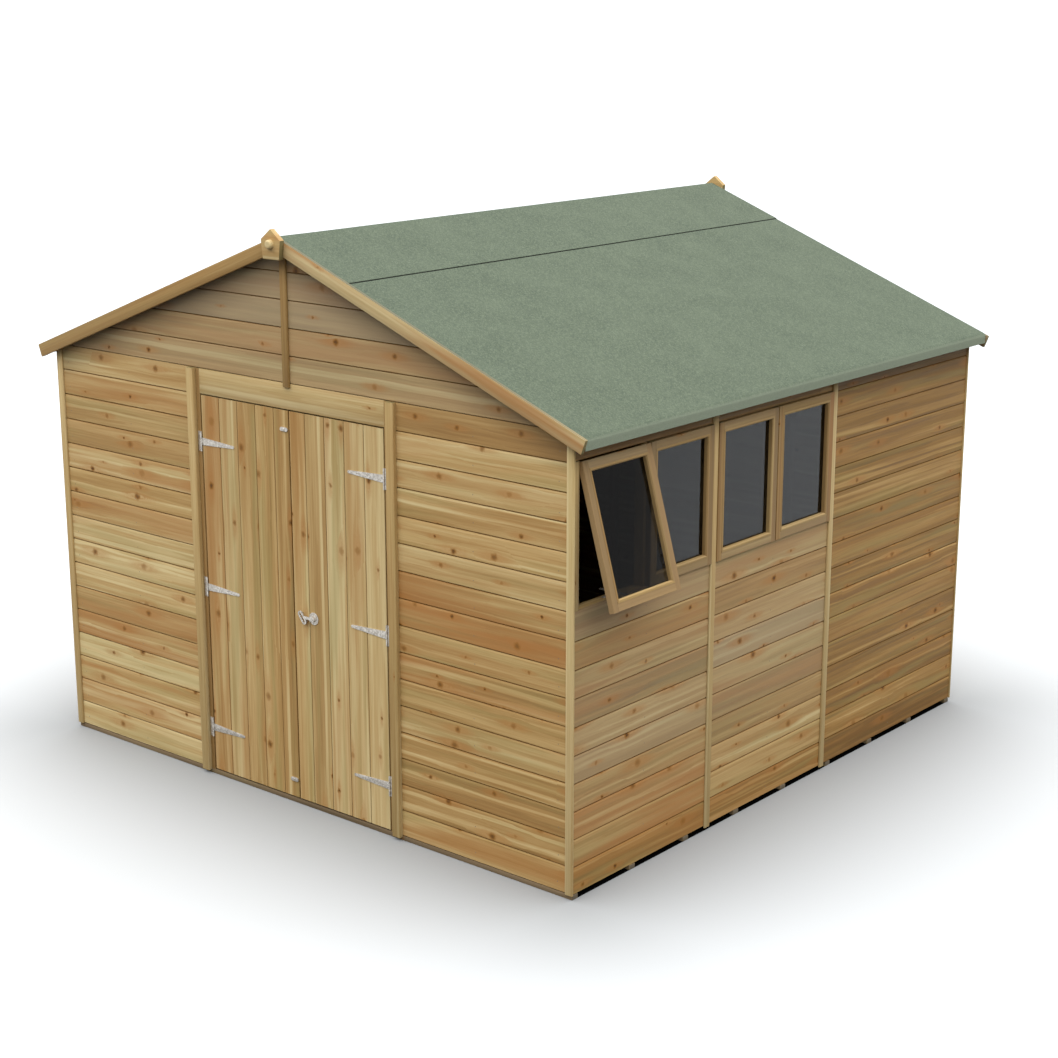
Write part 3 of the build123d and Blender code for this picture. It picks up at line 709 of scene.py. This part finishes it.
# material, slot, ease in millimetres, and tones, with other ones for the right side of the shed where given
frameTimber = (framingPine, "framing", 1.5, (0.3, 0.8, 0.2, 0.1))
ledgeTimber = (framingPine, "framing", 2.0, (0.4, 0.8, 0.2, 0.1))
timber = {
    "floor_bearers": (bearerPine, "floor", 1.5, (0.2, 0.8, 0.2, 0.1)),
    **dict.fromkeys(("end_studs", "end_rails", "gable_rafters", "side_studs", "side_rails"), frameTimber),
    # painted light: the window rails get pale tones, to lift the sill ledge that lies in the shade of the
    # opening
    "window_rails": (trimPine, "framing", 1.0, (0.6, 0.8, 0.2, 0.1)),
    "window_mullions": (trimPine, "framing", 1.5, (0.4, 0.7, 0.2, 0.1)),
    "roof_purlins": frameTimber,
    "corner_strips": (trimPine, "trim", 1.2, (0.74, 0.86, 0.2, 0.05)),
    "door_strips": (trimPine, "trim", 1.2, (0.72, 0.76, 0.15, 0.05), (0.64, 0.68, 0.15, 0.05)),
    "gable_strips": (trimPine, "trim", 1.2, (0.34, 0.4, 0.0, 0.1)),
    "side_strips": (trimPine, "trim", 1.2, (0.7, 0.85, 0.1, 0.3)),
    # painted shade: the jambs get dark tones, for the shade the door strips cast in their recess
    "door_jambs": (trimPine, "trim", 1.0, (0.3, 0.4, 0.2, 0.1)),
    "door_head": (trimPine, "trim", 1.5, (0.76, 0.8, 0.1, 0.1)),
    "door_left_ledges": ledgeTimber,
    "door_right_ledges": ledgeTimber,
    "front_bargeboards": (bargePine, "trim", 0.8, (0.46, 0.5, 0.0, 0.1), (0.84, 0.88, 1.0, 0.1)),
    # painted shade: the rear bargeboards get the darkest tones, for the shade they lie in under the felt's
    # edge
    "rear_bargeboards": (bargePine, "trim", 0.8, (0.15, 0.25, 0.0, 0.9)),
}


def bodyOf(node):
    return next(name for name, members in frame["record"]["behaviour"]["bodies"].items() if node in members)


def pieceName(node):
    first, *rest = node.split("_")
    return first + "".join(word.title() for word in rest)


for node, (material, slot, ease, *tones) in timber.items():
    makePiece(pieceName(node), easedPile(node, ease * mm, *tones), material, bodyOf(node), slot, node)
print("timber done")


# Finials: the plaque from the CAD, its turned boss the palest wood on the shed

finialLook = {"ease": 0.8 * mm, "rounds": 3, "tones": (0.7, 0.75, 0.3, 0.0), "bossTone": 0.95,
              "bossHeight": 17.5 * mm}
pile = easedPile("finials", finialLook["ease"], finialLook["tones"], rounds=finialLook["rounds"])
finialLow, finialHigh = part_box("finials")
for at, corners in enumerate(pile["faces"]):
    depth = sum(pile["points"][corner].y for corner in corners) / len(corners)
    if min(depth - finialLow.y, finialHigh.y - depth) < finialLook["bossHeight"]:
        pile["board"][at] = (finialLook["bossTone"], 0.0, 0.0, 0.0)
makePiece("turnedFinials", pile, trimPine, "shell", "trim", "finials")


# Floor and roof boards, plain boards with a hairline joint

plainBoards = {"cover": 115 * mm, "leastShare": 1 / 3, "ease": 0.9 * mm, "ridgeGap": 0.5 * mm,
               "eavesBevel": 0.9, "floorTones": (0.4, 0.8, 0.2, 0.2), "roofTones": (0.35, 0.8, 0.2, 0.1)}


def plainSection(edge, width, thick):
    ease = plainBoards["ease"]
    end = edge + width
    return [(edge, ease), (edge + ease, 0.0), (end - ease, 0.0), (end, ease),
            (end, thick - ease), (end - ease, thick), (edge + ease, thick), (edge, thick - ease)]


def layBoards(pile, place, span, start, end, thick, tones):
    edge = 0.0
    while edge < span - meshing["sliver"]:
        cover = plainBoards["cover"]
        if span - edge - cover < cover * plainBoards["leastShare"]:
            cover = span - edge
        addBoard(pile, place, plainSection(edge, cover, thick), start, end, tones)
        edge += cover


low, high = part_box("floor_boards")
pile = newPile()
place = placeOf((low.x, 0, high.z), (0, 1, 0), (1, 0, 0), (0, 0, -1))
layBoards(pile, place, high.x - low.x, low.y, high.y, high.z - low.z, plainBoards["floorTones"])
makePiece("floorBoards", pile, framingPine, "shell", "floor", "floor_boards")

roofThick = (boardsHigh.z - underRoof(0)) * math.cos(pitch)
eavesReach = boardsHigh.x / math.cos(pitch)
pile = newPile()
for sign in (-1, 1):
    down, outward = slopeAxes(sign)
    apex = Vector((0, boardsLow.y, underRoof(0))) + outward * roofThick
    place = placeOf(apex, down, (0, 1, 0), -outward)
    # cut upright at the ridge and the eaves, with the top corner taken off under the fold of the felt
    layBoards(pile, place, boardsHigh.y - boardsLow.y,
              lambda across, depth: (depth - roofThick) * slope + plainBoards["ridgeGap"],
              lambda across, depth: eavesReach - (roofThick - depth) * (slope + plainBoards["eavesBevel"]),
              roofThick, plainBoards["roofTones"])
makePiece("roofBoards", pile, framingPine, "shell", "roof_boards", "roof_boards")
print("floor and roof boards done")


# Felt: sheets that lie on the boards with a little slack, folded down at the eaves and lapped at the ridge

feltSheet = {
    "thick": 2.0 * mm, "slack": 1.0 * mm, "slackSize": 350 * mm, "ridgeGap": 0.5 * mm, "fold": 16 * mm,
    "rows": 72, "runs": 30, "foldSteps": 8, "dropSteps": 4,
}


# a closed sheet over a path in X and Z, lifted off it by the slack
def feltPile(path, startY, endY):
    thick, slack = feltSheet["thick"], feltSheet["slack"]
    normals = []
    for at in range(len(path)):
        before, after = path[max(at - 1, 0)], path[min(at + 1, len(path) - 1)]
        run = (after - before).normalized()
        normals.append(Vector((-run.y, run.x)))
    pile = newPile()
    count = len(path)
    for row in range(feltSheet["rows"] + 1):
        y = startY + (endY - startY) * row / feltSheet["rows"]
        ring = []
        for lift in (0.0, thick):
            for spot, normal in zip(path, normals):
                wave = 0.5 + 0.5 * noise.noise(Vector((spot.x, y, spot.y)) / feltSheet["slackSize"])
                ring.append(spot + normal * (lift + slack * min(max(wave, 0.0), 1.0)))
        order = ring[:count] + ring[count:][::-1]
        pile["points"] += [Vector((spot.x, y, spot.y)) for spot in order]
    loop = 2 * count
    for row in range(feltSheet["rows"]):
        joinRings(pile, row * loop, loop)
    for base in (0, feltSheet["rows"] * loop):
        for at in range(count - 1):
            pile["faces"].append([base + at, base + at + 1, base + loop - 2 - at, base + loop - 1 - at])
    return pile


feltLow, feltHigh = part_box("roof_felt")
capLow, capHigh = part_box("roof_felt_cap")
feltEdge = feltHigh.x - feltSheet["thick"] - feltSheet["slack"]


def feltLine(x, lift):
    return Vector((x, underRoof(x) + lift / math.cos(pitch)))


runs = feltSheet["runs"]
for side, sign in sides.items():
    fold, ridgeGap = feltSheet["fold"], feltSheet["ridgeGap"]
    path = []
    for run in range(runs + 1):
        x = ridgeGap + (feltEdge - fold - ridgeGap) * run / runs
        path.append(feltLine(x, roofThick))
    # the fold is a curve from the slope to the drop, drawn towards the corner where they meet
    foldStart = path[-1]
    foldEnd = Vector((feltEdge, foldStart.y - fold))
    corner = Vector((feltEdge, foldStart.y - fold * slope))
    for step in range(1, feltSheet["foldSteps"] + 1):
        share = step / feltSheet["foldSteps"]
        bend = foldStart * (1 - share) ** 2 + corner * 2 * share * (1 - share)
        path.append(bend + foldEnd * share ** 2)
    for step in range(1, feltSheet["dropSteps"] + 1):
        share = step / feltSheet["dropSteps"]
        path.append(Vector((feltEdge, foldEnd.y + (feltLow.z - foldEnd.y) * share)))
    if sign < 0:
        path = [Vector((-spot.x, spot.y)) for spot in path][::-1]
    makePiece("roofFelt" + side.title(), feltPile(path, feltLow.y, feltHigh.y), felt, "shell", "felt",
              *(["roof_felt"] if sign > 0 else []))

feltThick = feltSheet["thick"] + feltSheet["slack"]
path = [feltLine(capHigh.x * run / runs, roofThick + feltThick) for run in range(-runs, runs + 1)]
makePiece("roofFeltCap", feltPile(path, capLow.y, capHigh.y), felt, "shell", "felt", "roof_felt_cap")

# the laps are stuck down, and a thin bead of bitumen shows along them
lapBead = {"width": 7 * mm, "height": 1.0 * mm, "inset": 1.5 * mm, "crownAt": 0.6, "crown": 0.4}
width, height, inset = lapBead["width"], lapBead["height"], lapBead["inset"]
section = [(-inset, -height), (width - inset, -height),
           (width * lapBead["crownAt"], height * lapBead["crown"]), (-inset, height)]
pile = newPile()
for sign in (-1, 1):
    down, outward = slopeAxes(sign)
    edge = feltLine(capHigh.x, roofThick + feltThick)
    place = placeOf((sign * edge.x, 0, edge.y), (0, 1, 0), down, outward)
    addBoard(pile, place, section, capLow.y, capHigh.y, plainTones)
makePiece("lapBitumen", pile, bitumen, "shell", "felt")
print("felt done")


# Windows: stiles and rails butted at the corners, a pale bead planted round the sheet and a rebate behind it

sash = {
    "frame": 44 * mm, "rebate": 9 * mm, "bed": 5 * mm, "ease": 1.6 * mm, "fit": 0.5 * mm,
    # the bead rises from its root to a crown and falls away to the sheet
    "bead": 13 * mm, "beadGap": 0.3 * mm, "beadProud": 1.2 * mm, "beadRoot": 0.5, "beadCrown": 2 * mm,
    "beadTurn": 4 * mm, "beadLow": 0.6, "beadFall": 4 * mm,
    "railTones": (0.34, 0.46, 0.1, 0.4), "railBeadTones": (0.5, 0.6, 0.0, 0.2),
    "stileTones": (0.14, 0.22, 0.1, 0.3), "stileBeadTones": (0.32, 0.42, 0.0, 0.2),
}


def sashSections(edge, thick, flip):
    width, ease, fit, proud = sash["frame"], sash["ease"], sash["fit"], sash["beadProud"]
    sight, back = width - sash["rebate"], thick - sash["bed"]
    seat = width - sash["bead"]
    root = seat + sash["beadGap"]
    member = [(0, ease), (ease, 0), (seat, 0), (seat, back - fit), (sight, back - fit), (sight, thick),
              (0, thick)]
    bead = [(root, fit), (root, -proud * sash["beadRoot"]), (seat + sash["beadCrown"], -proud),
            (width - sash["beadTurn"], -proud * sash["beadLow"]), (width, sash["beadFall"]), (width, back),
            (root, back)]
    for outline in (member, bead):
        yield [(edge - across if flip else edge + across, depth) for across, depth in outline]


# stiles run the whole height, and rails and beads run between them
def addSash(pile, place, width, height, thick):
    upright = place @ placeOf((0, 0, 0), (0, 1, 0), (1, 0, 0), (0, 0, 1))
    inset = sash["frame"] - sash["bead"]
    for kind, seat, span, length, start in (("stile", upright, width, height, 0.0),
                                            ("rail", place, height, width, inset)):
        for edge, flip in ((0.0, False), (span, True)):
            member, bead = sashSections(edge, thick, flip)
            addBoard(pile, seat, member, start, length - start, sash[kind + "Tones"])
            addBoard(pile, seat, bead, inset, length - inset, sash[kind + "BeadTones"])


pile = newPile()
fixedBoxes = solidBoxes("fixed_sashes")
for low, high in fixedBoxes:
    place = placeOf((high.x, low.y, low.z), (0, 1, 0), (0, 0, 1), (-1, 0, 0))
    addSash(pile, place, high.y - low.y, high.z - low.z, high.x - low.x)
makePiece("fixedSashes", pile, trimPine, "shell", "trim", "fixed_sashes")

# the open sash hangs from its top outer edge, and its foot shows how far it swings
fixedLow, fixedHigh = fixedBoxes[0]
openLow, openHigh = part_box("open_sash")
sashHeight = fixedHigh.z - fixedLow.z
swing = math.asin((openHigh.x - fixedHigh.x) / sashHeight)
topEdge = Vector((fixedHigh.x, openLow.y, fixedHigh.z))
pile = newPile()
place = (Matrix.Translation(topEdge) @ Matrix.Rotation(-swing, 4, "Y")
         @ placeOf((0, 0, -sashHeight), (0, 1, 0), (0, 0, 1), (-1, 0, 0)))
addSash(pile, place, openHigh.y - openLow.y, sashHeight, fixedHigh.x - fixedLow.x)
makePiece("openSash", pile, trimPine, "shell", "trim", "open_sash")
nodes["window_panes"].material_slots[0].material = glazing
print("windows done, open", round(math.degrees(swing), 1), "degrees")


# Metalwork: the CAD shapes with pressed edges, and screws

# ease of the edges, in millimetres
metal = {
    "door_left_straps": 0.6, "door_right_straps": 0.6, "hinge_plates": 0.6, "door_latch": 1.2,
    "turn_buttons": 1.4, "window_stay": 0.6,
}
for node, ease in metal.items():
    pile = easedPile(node, ease * mm, plainTones)
    makePiece(pieceName(node), pile, zinc, bodyOf(node), "galvanised", node)

# a cross-head screw: rings of points set where the corners of the cross fall
screwLook = {
    "radius": 4.2 * mm, "height": 1.3 * mm, "arm": 0.55, "armHalf": 0.14,
    # reach in radii and level in heights of each round ring, then the levels of the cross and its floor
    "rounds": ((1.0, 0.0), (0.95, 0.45), (0.75, 0.85)), "crossLevels": (1.0, 0.35),
    "strapPlaces": (42 * mm, 96 * mm, 158 * mm),
    "plateInset": 9 * mm, "plateSpread": 34 * mm, "plateScale": 0.9,
}


def crossCorners():
    arm, half = screwLook["arm"], screwLook["armHalf"]
    for turn in range(4):
        for x, y in ((arm, half), (half, half), (half, arm)):
            yield Matrix.Rotation(turn * math.pi / 2, 2) @ Vector((x, y))


def addScrew(pile, place, scale=1.0):
    radius = screwLook["radius"] * scale
    spin = Matrix.Rotation(dice.uniform(0, math.pi / 2), 2)
    cross = [spin @ corner for corner in crossCorners()]
    rings = [([corner.normalized() * radius * reach for corner in cross], level)
             for reach, level in screwLook["rounds"]]
    rings += [([corner * radius for corner in cross], level) for level in screwLook["crossLevels"]]
    first = len(pile["points"])
    count = len(cross)
    for ring, level in rings:
        pile["points"] += [place @ Vector((spot.x, spot.y, level * screwLook["height"])) for spot in ring]
    last = first + (len(rings) - 1) * count
    for start in range(first, last, count):
        joinRings(pile, start, count)
    pile["faces"].append(list(range(last, last + count)))


def frontFace(node):
    flats = [face for face in nodes[node].data.polygons if face.normal.y < -meshing["level"]]
    return max(flats, key=lambda face: face.area).center.y


def onFront(x, y, z):
    return placeOf((x, y, z), (1, 0, 0), (0, 0, 1), (0, -1, 0))


for side, sign in sides.items():
    pile = newPile()
    node = "door_" + side + "_straps"
    level = frontFace(node)
    for low, high in solidBoxes(node):
        root = sign * max(abs(low.x), abs(high.x))
        for reach in screwLook["strapPlaces"]:
            addScrew(pile, onFront(root - sign * reach, level, (low.z + high.z) / 2))
    makePiece("strapScrews" + side.title(), pile, zinc, "door_" + side, "galvanised")

pile = newPile()
level = frontFace("hinge_plates")
for low, high in solidBoxes("hinge_plates"):
    outer = high.x - screwLook["plateInset"] if low.x > 0 else low.x + screwLook["plateInset"]
    for lift in (-1, 0, 1):
        addScrew(pile, onFront(outer, level, (low.z + high.z) / 2 + lift * screwLook["plateSpread"]),
                 screwLook["plateScale"])
makePiece("plateScrews", pile, zinc, "shell", "galvanised")

pile = newPile()
level = frontFace("turn_buttons")
for low, high in solidBoxes("turn_buttons"):
    addScrew(pile, onFront((low.x + high.x) / 2, level, (low.z + high.z) / 2))
makePiece("buttonScrews", pile, zinc, "door_left", "galvanised")

# small nail heads where each board crosses a stud
nailLook = {"radius": 2.2 * mm, "topShare": 0.9, "proud": 0.4 * mm, "sunk": 0.2 * mm, "corners": 8,
            "aboveFoot": 38 * mm, "belowHead": 20 * mm, "clear": 30 * mm, "studReach": 60 * mm,
            "jitter": 3 * mm}


def addNail(pile, place):
    first = len(pile["points"])
    count = nailLook["corners"]
    for share, level in ((1.0, -nailLook["sunk"]), (nailLook["topShare"], nailLook["proud"])):
        radius = share * nailLook["radius"]
        for at in range(count):
            turn = 2 * math.pi * at / count
            pile["points"].append(place @ Vector((math.cos(turn) * radius, math.sin(turn) * radius, level)))
    joinRings(pile, first, count)
    pile["faces"].append(list(range(first + count, first + 2 * count)))


def nailWall(pile, node, studs, axis, outward):
    for low, high in solidBoxes(node):
        face = (high if outward > 0 else low)[1 - axis]
        for studLow, studHigh in studs:
            middle = (studLow[axis] + studHigh[axis]) / 2
            depth = abs((studLow[1 - axis] + studHigh[1 - axis]) / 2 - face)
            inPanel = low[axis] + nailLook["clear"] < middle < high[axis] - nailLook["clear"]
            if depth >= nailLook["studReach"] or not inPanel:
                continue
            level = low.z + nailLook["aboveFoot"]
            while level < min(high.z, studHigh.z) - nailLook["belowHead"]:
                spot = Vector((0, 0, level + dice.uniform(-1, 1) * nailLook["jitter"]))
                spot[axis] = middle + dice.uniform(-1, 1) * nailLook["jitter"]
                spot[1 - axis] = face
                along, normal = Vector((0, 0, 0)), Vector((0, 0, 0))
                along[axis] = 1
                normal[1 - axis] = outward
                addNail(pile, placeOf(spot, along, (0, 0, 1), normal))
                level += cladding["cover"]


pile = newPile()
endStuds, sideStuds = solidBoxes("end_studs"), solidBoxes("side_studs")
for walls, studs, axis, outward in (
        (("front_wall_left", "front_wall_right"), endStuds, 0, -1),
        (("rear_wall_left", "rear_wall_right"), endStuds, 0, 1),
        (("left_wall",), sideStuds, 1, -1),
        (("right_wall_front", "right_wall_middle", "right_wall_rear"), sideStuds, 1, 1)):
    for node in walls:
        nailWall(pile, node, studs, axis, outward)
makePiece("claddingNails", pile, nailZinc, "shell", "galvanised")
print("metal done,", len(pile["faces"]) // (nailLook["corners"] + 1), "nails")


# Stage: a pale floor with a painted shadow, under a soft dome

# the dome is brightest half way up; the floor throws back less light than it shows, and shiny things see a
# brighter horizon than dull ones, as under a studio tent with dark sides
stage = {
    "floorSize": 4000.0, "floor": "#c8cbcd", "bounce": "#333434", "under": "#0a0a09", "shade": "#999b9c",
    "shadeReach": 1.15, "shadeFall": 1.6, "underEdge": 1 * mm, "underSlack": 0.01 * mm,
    "domeTop": 1.25, "domeMiddle": 3.4, "domeSide": 0.2, "sheenSide": 0.4,
    "middleRange": (0.15, 0.8), "topRange": (0.75, 1.0),
    "frontGlow": 0.2, "frontFrom": 0.3, "frontTurn": (-0.2, -0.7, 0.68),
}

material, add = newMaterial("studioFloorWithPaintedShadow")
place = add("TexCoord")["Object"]
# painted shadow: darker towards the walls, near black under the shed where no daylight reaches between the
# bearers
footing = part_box("floor_bearers")[1]
underSize = (footing.x - stage["underEdge"], footing.y - stage["underEdge"], 0.0)
outside = add("VectorMath ABSOLUTE", [place])[0]
outside = add("VectorMath SUBTRACT", [outside, underSize])[0]
outside = add("VectorMath MAXIMUM", [outside, (0.0, 0.0, 0.0)])[0]
away = add("VectorMath LENGTH", [outside])["Value"]
shade = add("MapRange", [away, 0.0, stage["shadeReach"], 1.0, 0.0])[0]
shade = add("Math POWER", [shade, stage["shadeFall"]])[0]
inside = add("Math LESS_THAN", [away, stage["underSlack"]])[0]
scattered = add("LightPath")["Is Diffuse Ray"]
colour = hexLinear(stage["floor"])
for share, code in ((shade, "shade"), (scattered, "bounce"), (inside, "under")):
    colour = add("Mix", [share, colour, hexLinear(stage[code])], data_type="RGBA")[2]
addSurface(add, {"Base Color": colour, "Specular IOR Level": 0.0})
half = stage["floorSize"] / 2
mesh = bpy.data.meshes.new("studioFloor")
mesh.from_pydata([(-half, -half, 0), (half, -half, 0), (half, half, 0), (-half, half, 0)], [], [(0, 1, 2, 3)])
mesh.materials.append(material)
studioFloor = bpy.data.objects.new("studioFloor", mesh)
scene.collection.objects.link(studioFloor)

world, add = emptyNodes(bpy.data.worlds.new("softDome"))
heading = add("TexCoord")["Generated"]
height = add("SeparateXYZ", [heading])[2]
path = add("LightPath")
side = add("Mix", [path["Is Glossy Ray"], stage["domeSide"], stage["sheenSide"]])[0]
glow = add("MapRange", [height, *stage["middleRange"], side, stage["domeMiddle"]],
           interpolation_type="SMOOTHSTEP")[0]
dimming = add("MapRange", [height, *stage["topRange"], 0.0, stage["domeTop"] - stage["domeMiddle"]],
              interpolation_type="SMOOTHSTEP")[0]
glow = add("Math ADD", [glow, dimming])[0]
front = add("VectorMath DOT_PRODUCT", [heading, stage["frontTurn"]])["Value"]
front = add("MapRange", [front, stage["frontFrom"], 1.0, 0.0, stage["frontGlow"]],
            interpolation_type="SMOOTHSTEP")[0]
glow = add("Math ADD", [glow, front])[0]
glow = add("Mix", [path["Is Camera Ray"], glow, 1.0])[0]
dome = add("Background", {"Color": (1.0, 1.0, 1.0, 1.0), "Strength": glow})[0]
add("OutputWorld", {"Surface": dome})
scene.world = world


# Camera: fitted to the shiplap joints and wall corners of the photograph

shot = {"eye": (6.0685, -7.1833, 3.4378), "yaw": 0.69755, "pitch": 0.26022, "focalPixels": 2032.58,
        "image": 1058, "sensor": 36.0, "farthest": 10000.0}
camera = bpy.data.objects.new("camera", bpy.data.cameras.new("camera"))
camera.data.sensor_width = shot["sensor"]
camera.data.lens = shot["focalPixels"] / shot["image"] * shot["sensor"]
camera.data.clip_end = shot["farthest"]
camera.location = shot["eye"]
camera.rotation_euler = (math.pi / 2 - shot["pitch"], 0.0, shot["yaw"])
scene.collection.objects.link(camera)
scene.camera = camera
scene.view_settings.view_transform = "Standard"
print("stage and camera done")

bpy.context.view_layer.update()
